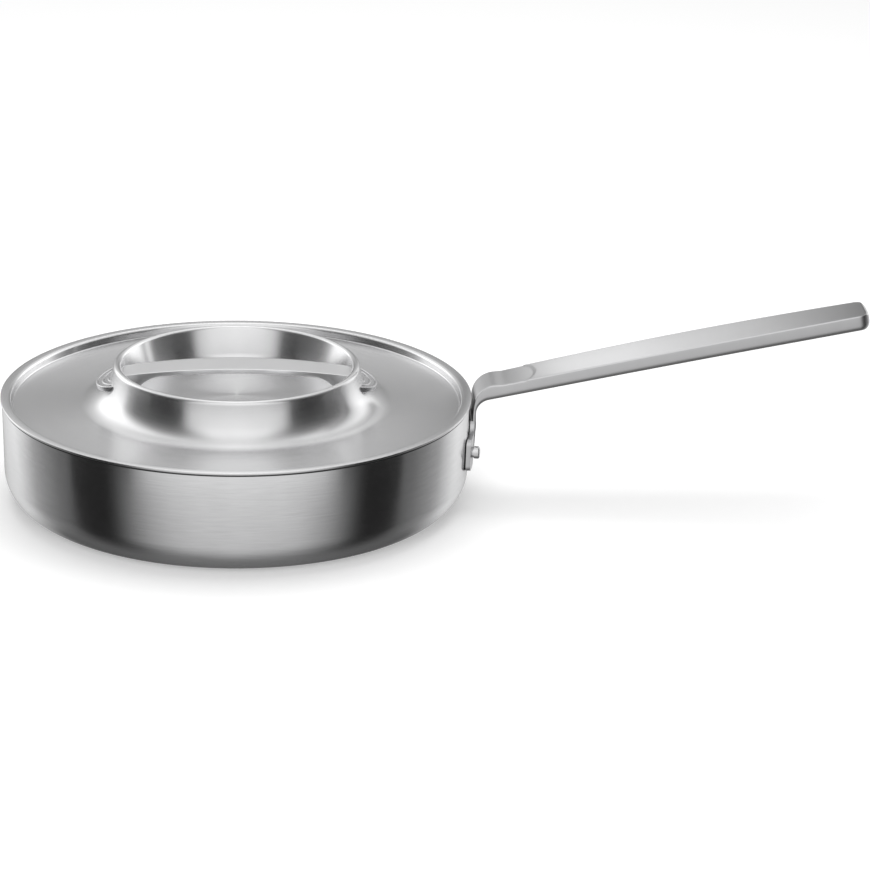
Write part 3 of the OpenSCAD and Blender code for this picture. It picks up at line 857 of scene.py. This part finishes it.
turned, turned_in, turned_out, (x, y, z) = line_group("turned lines")
reach = calc(turned, "SQRT", calc(turned, "ADD", calc(turned, "MULTIPLY", x, x),
                                  calc(turned, "MULTIPLY", y, y)))
safe_reach = calc(turned, "MAXIMUM", reach, AXIS_REACH)
round_x = calc(turned, "MULTIPLY", calc(turned, "DIVIDE", x, safe_reach),
               turned_in.outputs["Run"])
round_y = calc(turned, "MULTIPLY", calc(turned, "DIVIDE", y, safe_reach),
               turned_in.outputs["Run"])
line_reach = calc(turned, "DIVIDE", reach, turned_in.outputs["Line Spacing"])
line_height = calc(turned, "DIVIDE", z, turned_in.outputs["Line Spacing"])
turned.links.new(line_noise(turned, join(turned, round_x, round_y, line_reach), line_height),
                 turned_out.inputs["Lines"])
cloud_reach = calc(turned, "DIVIDE", reach, turned_in.outputs["Cloud Size"])
cloud_height = calc(turned, "DIVIDE", z, turned_in.outputs["Cloud Size"])
turned.links.new(line_noise(turned, join(turned, round_x, round_y, cloud_reach), cloud_height),
                 turned_out.inputs["Clouds"])
print("group:", turned.name)

# %% Build the straight lines
CLOUD_DETAIL = 2.0

brushed, brushed_in, brushed_out, (x, y, z) = line_group("straight lines")
along = calc(brushed, "DIVIDE", x, brushed_in.outputs["Run"])
side_step = calc(brushed, "DIVIDE", y, brushed_in.outputs["Line Spacing"])
up_step = calc(brushed, "DIVIDE", z, brushed_in.outputs["Line Spacing"])
brushed.links.new(line_noise(brushed, join(brushed, along, side_step, up_step), along),
                  brushed_out.inputs["Lines"])
cloud = brushed.nodes.new("ShaderNodeVectorMath")
cloud.operation = "DIVIDE"
brushed.links.new(brushed_in.outputs["Place"], cloud.inputs[0])
size = brushed_in.outputs["Cloud Size"]
brushed.links.new(join(brushed, size, size, size), cloud.inputs[1])
brushed.links.new(line_noise(brushed, cloud.outputs[0], along, CLOUD_DETAIL),
                  brushed_out.inputs["Clouds"])
print("group:", brushed.name)

# %% [markdown]
# A second group turns the lines into what a finish needs. The lines and the clouds make the colour
# a little lighter or darker and change how rough the steel is, and worn edges get lighter and
# smoother. The height of the lines goes to a Bump node. Metal and the other numbers that are the
# same all over are set on the shader itself.

# %% Build the steel group
EDGE_POLISH = -0.3   # change of roughness where a worn edge is lighter by 1

steel, steel_in, steel_out = new_group(
    "steel surface",
    [("Steel", COLOR, (0.6, 0.6, 0.6, 1)), ("Lines", FLOAT, 0.5), ("Clouds", FLOAT, 0.5),
     ("Worn Edge", FLOAT, 0.0), ("Line Tone", FLOAT, 0.1), ("Cloud Tone", FLOAT, 0.08),
     ("Roughness", FLOAT, 0.3), ("Line Roughness", FLOAT, 0.1), ("Edge Light", FLOAT, 0.2)],
    [("Color", COLOR), ("Roughness", FLOAT), ("Height", FLOAT)])


def swing(socket):
    """Moves a noise so that it swings evenly round zero."""
    return calc(steel, "SUBTRACT", socket, 0.5)


lines, clouds = swing(steel_in.outputs["Lines"]), swing(steel_in.outputs["Clouds"])
tone = calc(steel, "ADD", calc(steel, "MULTIPLY", lines, steel_in.outputs["Line Tone"]),
            calc(steel, "MULTIPLY", clouds, steel_in.outputs["Cloud Tone"]))
edge = calc(steel, "MULTIPLY", steel_in.outputs["Worn Edge"], steel_in.outputs["Edge Light"])
level = calc(steel, "ADD", calc(steel, "ADD", tone, edge), 1.0)
tinted = steel.nodes.new("ShaderNodeVectorMath")
tinted.operation = "SCALE"
steel.links.new(steel_in.outputs["Steel"], tinted.inputs[0])
steel.links.new(level, tinted.inputs["Scale"])
steel.links.new(tinted.outputs[0], steel_out.inputs["Color"])
rough_lines = calc(steel, "MULTIPLY", lines, steel_in.outputs["Line Roughness"])
rough_edge = calc(steel, "MULTIPLY", edge, EDGE_POLISH)
rough = calc(steel, "ADD", calc(steel, "ADD", steel_in.outputs["Roughness"], rough_lines),
             rough_edge, clamp=True)
steel.links.new(rough, steel_out.inputs["Roughness"])
steel.links.new(steel_in.outputs["Lines"], steel_out.inputs["Height"])
print("steel group sockets:", [s.name for s in steel.interface.items_tree])

# %% [markdown]
# # One finish for each kind of piece
# Each finish is a short tree: place, lines, steel group, shader. The wall and the lid are brushed
# round, so their gloss is stretched across the lines. The anisotropy of the shader does this, and
# its tangent runs round the axis. The handle, the strap, the lugs and the rivets are only satin, so
# they have no stretch, and the core is plain aluminium. The handle's lines run along the grip, so
# its place is turned by the grip's angle first.

# %% Write a finish
LINE_DEPTH = 0.02 * MM
ACROSS_LINES = 0.25   # share of a turn from the tangent to the direction of the stretch


def make_finish(name, steel_colour, kind, spacing, run, roughness, stretch=0.0, line_tone=0.1,
                bump=0.1, edge_light=0.15, slope=0.0):
    """A steel finish. kind is the line group, and slope turns its place round the y axis."""
    material = bpy.data.materials.new(name)
    material.use_nodes = True
    tree = material.node_tree
    tree.nodes.clear()
    output = tree.nodes.new("ShaderNodeOutputMaterial")
    shader = tree.nodes.new("ShaderNodeBsdfPrincipled")
    shader.inputs["Metallic"].default_value = 1
    shader.inputs["Anisotropic"].default_value = stretch
    tree.links.new(shader.outputs[0], output.inputs["Surface"])
    place = tree.nodes.new("ShaderNodeTexCoord").outputs["Object"]
    if slope:
        turn = tree.nodes.new("ShaderNodeMapping")
        turn.inputs["Rotation"].default_value = (0, slope, 0)
        tree.links.new(place, turn.inputs["Vector"])
        place = turn.outputs[0]
    lines_node = tree.nodes.new("ShaderNodeGroup")
    lines_node.node_tree = kind
    tree.links.new(place, lines_node.inputs["Place"])
    lines_node.inputs["Line Spacing"].default_value = spacing
    lines_node.inputs["Run"].default_value = run
    steel_node = tree.nodes.new("ShaderNodeGroup")
    steel_node.node_tree = steel
    steel_node.inputs["Steel"].default_value = (*steel_colour, 1)
    steel_node.inputs["Line Tone"].default_value = line_tone
    steel_node.inputs["Roughness"].default_value = roughness
    steel_node.inputs["Edge Light"].default_value = edge_light
    worn = tree.nodes.new("ShaderNodeAttribute")
    worn.attribute_name = "worn_edge"
    tree.links.new(lines_node.outputs["Lines"], steel_node.inputs["Lines"])
    tree.links.new(lines_node.outputs["Clouds"], steel_node.inputs["Clouds"])
    tree.links.new(worn.outputs["Fac"], steel_node.inputs["Worn Edge"])
    tree.links.new(steel_node.outputs["Color"], shader.inputs["Base Color"])
    tree.links.new(steel_node.outputs["Roughness"], shader.inputs["Roughness"])
    bump_node = tree.nodes.new("ShaderNodeBump")
    bump_node.inputs["Strength"].default_value = bump
    bump_node.inputs["Distance"].default_value = LINE_DEPTH
    tree.links.new(steel_node.outputs["Height"], bump_node.inputs["Height"])
    tree.links.new(bump_node.outputs[0], shader.inputs["Normal"])
    if stretch:
        shader.inputs["Anisotropic Rotation"].default_value = ACROSS_LINES
        tangent = tree.nodes.new("ShaderNodeTangent")
        tangent.direction_type = "RADIAL"
        tangent.axis = "Z"
        tree.links.new(tangent.outputs[0], shader.inputs["Tangent"])
    return material


def paint(material, *pieces):
    """Adds the finish to the materials of the pieces."""
    for piece in pieces:
        piece.data.materials.append(material)
    print(material.name, "on", [piece.name for piece in pieces])


# %% Paint the pan and the lid
WALL_GREY, LID_GREY, HANDLE_GREY = (0.56, 0.56, 0.565), (0.61, 0.61, 0.615), (0.54, 0.54, 0.545)
STRAP_GREY, LUG_GREY, RIVET_GREY = (0.66, 0.66, 0.665), (0.44, 0.44, 0.445), (0.55, 0.55, 0.555)
# The last grey is a painted shade, nearly black, for the shadowed gap under the lid and behind the
# handle's foot.
CORE_GREY, GAP_SHADE_GREY = (0.70, 0.71, 0.72), (0.06, 0.06, 0.06)
FINE, COARSE = 0.3 * MM, 0.35 * MM   # spacing of the lines
WALL_RUN, LID_RUN = 9.0, 4.0         # the lid's lines are longer
FULL_STRETCH = 0.97

paint(make_finish("brushed wall steel", WALL_GREY, turned, FINE, WALL_RUN, roughness=0.24,
                  stretch=FULL_STRETCH, bump=0.12, line_tone=0.3), outer_skin, inner_skin)
paint(make_finish("core aluminium", CORE_GREY, turned, FINE, WALL_RUN, roughness=0.35), pan_core)
paint(make_finish("spun lid steel", LID_GREY, turned, FINE, LID_RUN, roughness=0.22,
                  stretch=FULL_STRETCH, bump=0.04, line_tone=0.06, edge_light=0.05), spun_lid)

# %% Paint the satin pieces
HANDLE_RUN, STRAP_RUN, SMALL_RUN = 8 * MM, 10 * MM, 2 * MM   # length of the lines

paint(make_finish("satin handle steel", HANDLE_GREY, brushed, COARSE, HANDLE_RUN, roughness=0.36,
                  bump=0.06, line_tone=0.08, edge_light=0.03, slope=grip_angle), handle)
paint(make_finish("satin strap steel", STRAP_GREY, brushed, FINE, STRAP_RUN, roughness=0.36,
                  bump=0.06, line_tone=0.06), strap)
paint(make_finish("turned lug steel", LUG_GREY, brushed, FINE, SMALL_RUN, roughness=0.3),
      lug_left, lug_right)
paint(make_finish("rivet steel", RIVET_GREY, brushed, FINE, SMALL_RUN, roughness=0.24),
      rivet_front, rivet_rear)

# %% [markdown]
# Two narrow faces are painted nearly black, as shade: the slope of the pan's rim, where the gap
# under the lid's flange lies in shadow, and the back edge of the handle's foot, where its contact
# line with the wall lies in shadow. Each is part of a piece that has its finish already, so the
# painted shade becomes the piece's second material, and only these faces are given it. Those of
# the foot were marked when they were cut.

# %% Paint shade on the gap faces
GAP_SHADE_NORMAL = 0.1

# The rim's sloped faces get the painted shade of the shadowed gap under the lid's flange.
for face in outer_skin.data.polygons:
    face.material_index = int(face.normal.z > GAP_SHADE_NORMAL and
                              pan_height - rim_slope_down < face.center.z < pan_height)
paint(make_finish("painted gap shade", GAP_SHADE_GREY, turned, FINE, WALL_RUN, roughness=0.5, edge_light=0),
      outer_skin, handle)
for piece in (outer_skin, handle):
    print(piece.name, "painted gap shade faces:", sum(f.material_index for f in piece.data.polygons))

# %% [markdown]
# # Floor and lamps
# The pan stands on a pale floor that carries on to the horizon. The floor is a plain matt surface,
# lifted to white only for the camera, so it still takes the pan's soft shadow. One large soft lamp
# hangs over the pan and a weaker one stands near the camera. Both light the floor and leave the
# reflections to the tent of the next step, where their brightness can be set by direction.

# %% Lay the floor
FLOOR_RADIUS = 20     # metres
FLOOR_SIDES = 96
FLOOR_COLOUR = 0.82
FLOOR_LIFT = 0.3      # light that the floor adds for the camera, and not for the pan
WHITE = (1, 1, 1, 1)
BLACK = (0, 0, 0, 1)

floor_bm = bmesh.new()
bmesh.ops.create_circle(floor_bm, cap_ends=True, segments=FLOOR_SIDES, radius=FLOOR_RADIUS)
floor = make_object(floor_bm, "studio_floor")
floor.visible_glossy = False

floor_paint = bpy.data.materials.new("pale floor")
floor_paint.use_nodes = True
floor_tree = floor_paint.node_tree
matt = floor_tree.nodes["Principled BSDF"]
matt.inputs["Base Color"].default_value = (FLOOR_COLOUR, FLOOR_COLOUR, FLOOR_COLOUR, 1)
matt.inputs["Roughness"].default_value = 1
matt.inputs["Specular IOR Level"].default_value = 0
matt.inputs["Emission Color"].default_value = WHITE


def seen_rays(tree):
    """1 for what the camera, a reflection or a refraction sees, and 0 for the light."""
    path = tree.nodes.new("ShaderNodeLightPath")
    return calc(tree, "MAXIMUM", path.outputs["Is Camera Ray"],
                calc(tree, "MAXIMUM", path.outputs["Is Glossy Ray"],
                     path.outputs["Is Transmission Ray"]))


floor_tree.links.new(calc(floor_tree, "MULTIPLY", seen_rays(floor_tree), FLOOR_LIFT),
                     matt.inputs["Emission Strength"])
floor.data.materials.append(floor_paint)
print("floor colour:", FLOOR_COLOUR, "lift:", FLOOR_LIFT)

# %% Light the world
WORLD_LEVEL = 0.5   # what lights the floor; the camera and the reflections see 1

world = bpy.data.worlds.new("studio")
bpy.context.scene.world = world
world.use_nodes = True
sky = world.node_tree.nodes["Background"]
sky.inputs["Color"].default_value = WHITE
seen = seen_rays(world.node_tree)
world.node_tree.links.new(
    calc(world.node_tree, "ADD", calc(world.node_tree, "MULTIPLY", seen, 1 - WORLD_LEVEL),
         WORLD_LEVEL), sky.inputs["Strength"])
print("world:", WORLD_LEVEL)

# %% Hang the lamps
LAMP_AIM = (0.05, 0, 0.05)   # metres: a point in the pan, as all places below
TOP_PLACE, TOP_SIZE, TOP_POWER = (0.1, 0.35, 1.5), (1.6, 1.1), 14
FRONT_PLACE, FRONT_SIZE, FRONT_POWER = (-0.2, -1.9, 1.5), (1.2, 0.9), 10


def soft_lamp(name, place, size, power):
    """A rectangular soft lamp at place, turned to the pan. It isn't seen in reflections."""
    data = bpy.data.lights.new(name, "AREA")
    data.shape = "RECTANGLE"
    (data.size, data.size_y), data.energy = size, power
    lamp = bpy.data.objects.new(name, data)
    lamp.location = place
    lamp.rotation_euler = (Vector(LAMP_AIM) - Vector(place)).to_track_quat("-Z", "Y").to_euler()
    lamp.visible_glossy = False
    bpy.context.scene.collection.objects.link(lamp)
    print(name, "at", place, "with", power, "W")


soft_lamp("top_lamp", TOP_PLACE, TOP_SIZE, TOP_POWER)
soft_lamp("front_lamp", FRONT_PLACE, FRONT_SIZE, FRONT_POWER)

# %% [markdown]
# # What the steel reflects
# Steel shows its surroundings more than itself. The photograph was taken inside a studio tent: a
# black panel stands on either side and draws the two dark bands down the round wall, and bright
# cloth hangs over the pan and behind its shoulders. The tent here is a sphere that only
# reflections see, so it neither shows nor puts a shadow on the floor. Its brightness is set for
# directions: a turn from the front round to the back, and a height over the horizon. The floor's
# reflection belongs to it too, as its lower half. The brightness is kept on the vertices of the
# sphere, and its cloth is a material that glows by that number.

# %% Weave the cloth
cloth = bpy.data.materials.new("tent cloth")
cloth.use_nodes = True
cloth.cycles.emission_sampling = "NONE"
cloth_tree = cloth.node_tree
cloth_shader = cloth_tree.nodes["Principled BSDF"]
cloth_shader.inputs["Base Color"].default_value = BLACK
cloth_shader.inputs["Specular IOR Level"].default_value = 0
cloth_shader.inputs["Emission Color"].default_value = WHITE
glow_node = cloth_tree.nodes.new("ShaderNodeAttribute")
glow_node.attribute_name = "glow"
cloth_tree.links.new(glow_node.outputs["Fac"], cloth_shader.inputs["Emission Strength"])


def between(stops, place):
    """The value at place on a line through the stops, which are (place, value) pairs."""
    for (low, low_value), (high, high_value) in zip(stops, stops[1:]):
        if place <= high:
            share = max(0, (place - low) / (high - low))
            return low_value + (high_value - low_value) * share
    return stops[-1][1]


def hang_cloth(bm, name, level):
    """Makes the mesh a cloth that only reflections see. level gives the glow at a place."""
    glow = bm.verts.layers.float.new("glow")
    for vert in bm.verts:
        vert[glow] = level(vert.co)
    hung = make_object(bm, name)
    hung.data.materials.append(cloth)
    hung.visible_camera = hung.visible_diffuse = hung.visible_shadow = False
    print(name + ":", len(hung.data.polygons), "faces")


print("cloth:", cloth.name)

# %% Say how bright the tent is
# Pairs of a turn, in degrees from the front, and the brightness there. LOW is the floor near the
# pan, HORIZON lies from the farther floor to just under the horizon, SHOULDER a little above it
# and OVERHEAD higher still.
LOW = [(0, 0.8), (30, 0.5), (50, 0.18), (60, 0.04), (81, 0.04), (83, 0.12), (110, 0.2),
       (140, 0.12), (180, 0.12)]
HORIZON = [(0, 0.88), (20, 0.84), (30, 0.74), (40, 0.52), (50, 0.28), (58, 0.07), (62, 0.02),
           (82, 0.02), (83, 0.16), (90, 0.2), (110, 0.45), (120, 0.8), (130, 1.1), (150, 0.85),
           (163, 0.45), (180, 0.4)]
SHOULDER = [(0, 1.15), (40, 1.05), (47, 0.5), (50, 0.03), (72, 0.03), (75, 0.06), (100, 0.14),
            (110, 0.6), (117, 1.9), (130, 2.4), (144, 2.3), (156, 0.9), (170, 0.35), (180, 0.35)]
OVERHEAD = [(0, 1.5), (30, 1.4), (50, 0.6), (60, 0.25), (90, 0.3), (105, 0.8), (118, 1.8),
            (128, 1.8), (140, 0.6), (150, 0.8), (165, 1.9), (180, 2.3)]
ZENITH = 1.1
UNDER = 0.2

# Heights over the horizon, in degrees, at which each of them holds. HORIZON holds from
# FLOOR_HEIGHT to HORIZON_HEIGHT, and ZENITH and UNDER are the same for every turn.
UNDER_HEIGHT, LOW_HEIGHT, FLOOR_HEIGHT, HORIZON_HEIGHT = -70, -44, -30, -5
SHOULDER_HEIGHT, OVERHEAD_HEIGHT, ZENITH_HEIGHT = 17, 55, 85


def brightness(place):
    """How bright the tent is at a place on it, by its direction from the middle of the pan."""
    direction = place.normalized()
    turn = abs(math.degrees(math.atan2(direction.x, -direction.y)))
    height = math.degrees(math.asin(max(-1, min(1, direction.z))))
    near_horizon = between(HORIZON, turn)
    return between([(UNDER_HEIGHT, UNDER), (LOW_HEIGHT, between(LOW, turn)),
                    (FLOOR_HEIGHT, near_horizon), (HORIZON_HEIGHT, near_horizon),
                    (SHOULDER_HEIGHT, between(SHOULDER, turn)),
                    (OVERHEAD_HEIGHT, between(OVERHEAD, turn)), (ZENITH_HEIGHT, ZENITH)], height)


print("brightness in front:", round(brightness(Vector((0, -1, 0))), 2))

# %% Hang the tent
TENT_RADIUS = 1.6   # metres
TENT_COLUMNS = 240
TENT_ROWS = 90

tent_bm = bmesh.new()
bmesh.ops.create_uvsphere(tent_bm, u_segments=TENT_COLUMNS, v_segments=TENT_ROWS,
                          radius=TENT_RADIUS)
hang_cloth(tent_bm, "studio_tent", brightness)

# %% [markdown]
# The grip's top is bright near the pan and grows darker towards its end, because a graded screen
# stands close behind the grip. It is near enough to show there and hardly anywhere else. It is one
# sheet, drawn as a row of edges that is extruded upwards, and it is made of the tent's cloth.

# %% Stand the graded screen
SCREEN_BEHIND = 0.09                          # how far behind the grip's middle it stands
SCREEN_FOOT = [(0.12, 0.078), (0.34, 0.118)]  # height of its lower edge at two places along x
SCREEN_HEIGHT = 0.35
SCREEN_GLOW = [(0.12, 0.25), (0.13, 0.35), (0.14, 0.65), (0.15, 1.1), (0.165, 1.5), (0.2, 1.45),
               (0.225, 1.22), (0.25, 1.08), (0.28, 0.88), (0.292, 0.72), (0.306, 0.62),
               (0.32, 0.48), (0.335, 0.3), (0.36, 0.12), (0.4, 0.1)]   # (x, brightness)

screen_bm = bmesh.new()
row = [screen_bm.verts.new((x, SCREEN_BEHIND, between(SCREEN_FOOT, x)))
       for x, _ in SCREEN_GLOW]
row_edges = [screen_bm.edges.new(pair) for pair in zip(row, row[1:])]
raised = bmesh.ops.extrude_edge_only(screen_bm, edges=row_edges)["geom"]
bmesh.ops.translate(screen_bm, verts=[v for v in raised if isinstance(v, bmesh.types.BMVert)],
                    vec=(0, 0, SCREEN_HEIGHT))
hang_cloth(screen_bm, "graded_screen", lambda place: between(SCREEN_GLOW, place.x))
print("screen from x", SCREEN_GLOW[0][0], "to", SCREEN_GLOW[-1][0])
